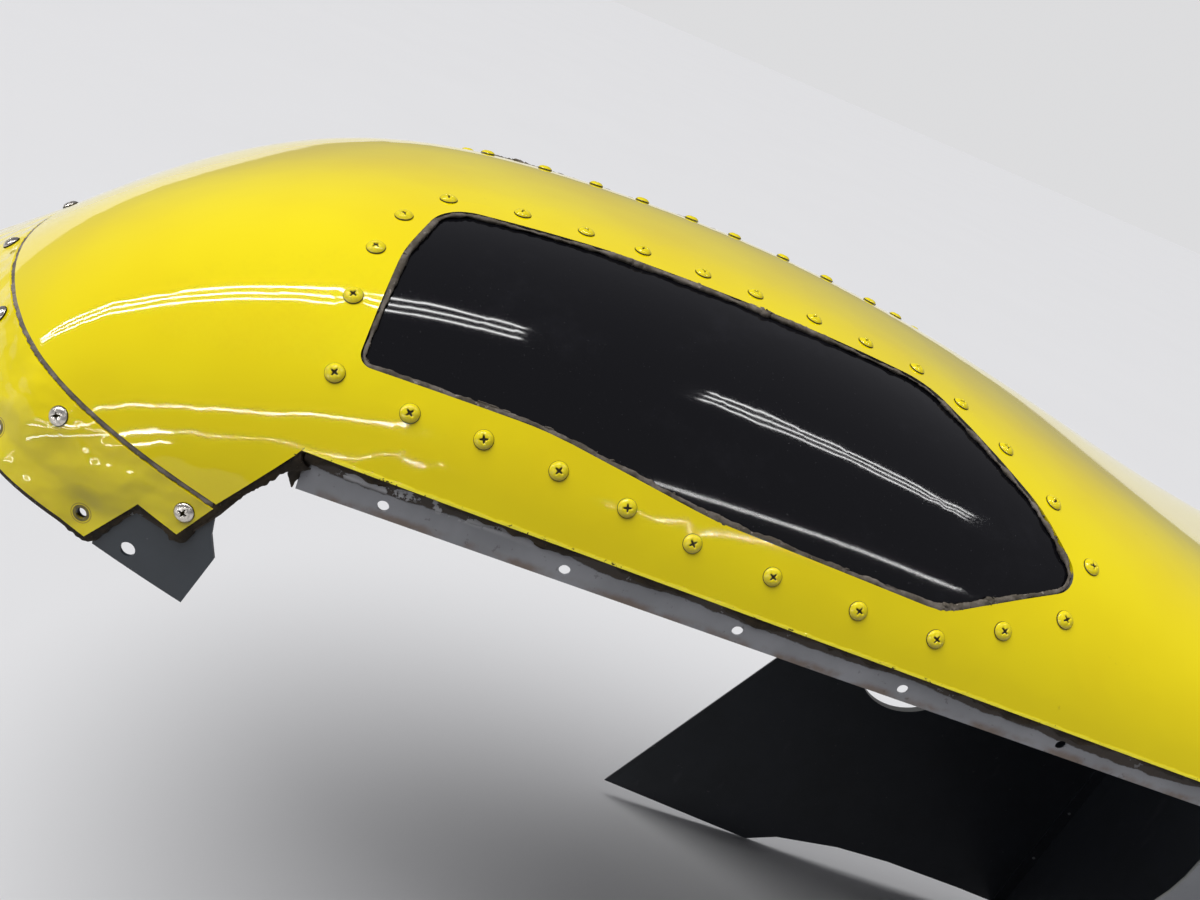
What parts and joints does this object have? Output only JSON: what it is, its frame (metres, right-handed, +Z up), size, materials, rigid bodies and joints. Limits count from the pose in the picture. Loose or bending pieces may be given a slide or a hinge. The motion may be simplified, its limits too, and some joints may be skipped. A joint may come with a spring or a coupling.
{
  "type": "aircraft cockpit canopy",
  "caption": "Moulded aircraft cockpit canopy hood with smoked side windows, screwed front band, sill flanges and quarter panels.",
  "frame": {"origin": "middle of the overall box, on the level of the quarter panels' feet", "axes": "+X aft along the aircraft, nose towards -X, +Y to the right wall, +Z up"},
  "size_m": [1.1851, 0.4956, 0.6998],
  "materials": {
    "yellow_shell": "high-gloss yellow paint on moulded glass-fibre skin",
    "yellow_band": "high-gloss yellow paint on sheet",
    "smoked_acrylic": "smoked near-black acrylic, polished",
    "retainer_grey": "grey primer on sheet",
    "bow_grey": "dark grey paint on sheet",
    "bracket_grey": "blue-grey satin paint on sheet",
    "flange_grey": "light grey primer, worn, rust stains at the lower edge",
    "cabin_grey": "grey satin paint on sheet",
    "window_sealant": "grey-brown sealant",
    "seam_sealant": "taupe sealant bead",
    "sill_sealant": "dark brown aged sealant",
    "yellow_screw": "overpainted steel",
    "bright_screw": "nickel plated",
    "rivet_grey": "primed rivets"
  },
  "bodies": {
    "root": {"band_nuts": "bright_screw", "band_screws": "bright_screw", "bulkhead_rivets": "rivet_grey", "flange_rivets": "rivet_grey", "front_band": "yellow_band", "front_bow": "bow_grey", "front_sealant": "seam_sealant", "hood_shell": "yellow_shell", "pillar_bracket_left": "bracket_grey", "pillar_bracket_right": "bracket_grey", "rear_bulkhead": "cabin_grey", "side_panel_left": "cabin_grey", "side_panel_right": "cabin_grey", "sill_flange_left": "flange_grey", "sill_flange_right": "flange_grey", "sill_sealant_left": "sill_sealant", "sill_sealant_right": "sill_sealant", "window_pane_left": "smoked_acrylic", "window_pane_right": "smoked_acrylic", "window_retainer_left": "retainer_grey", "window_retainer_right": "retainer_grey", "window_screws_left": "yellow_screw", "window_screws_right": "yellow_screw", "window_sealant_left": "window_sealant", "window_sealant_right": "window_sealant"}
  },
  "joints": []
}
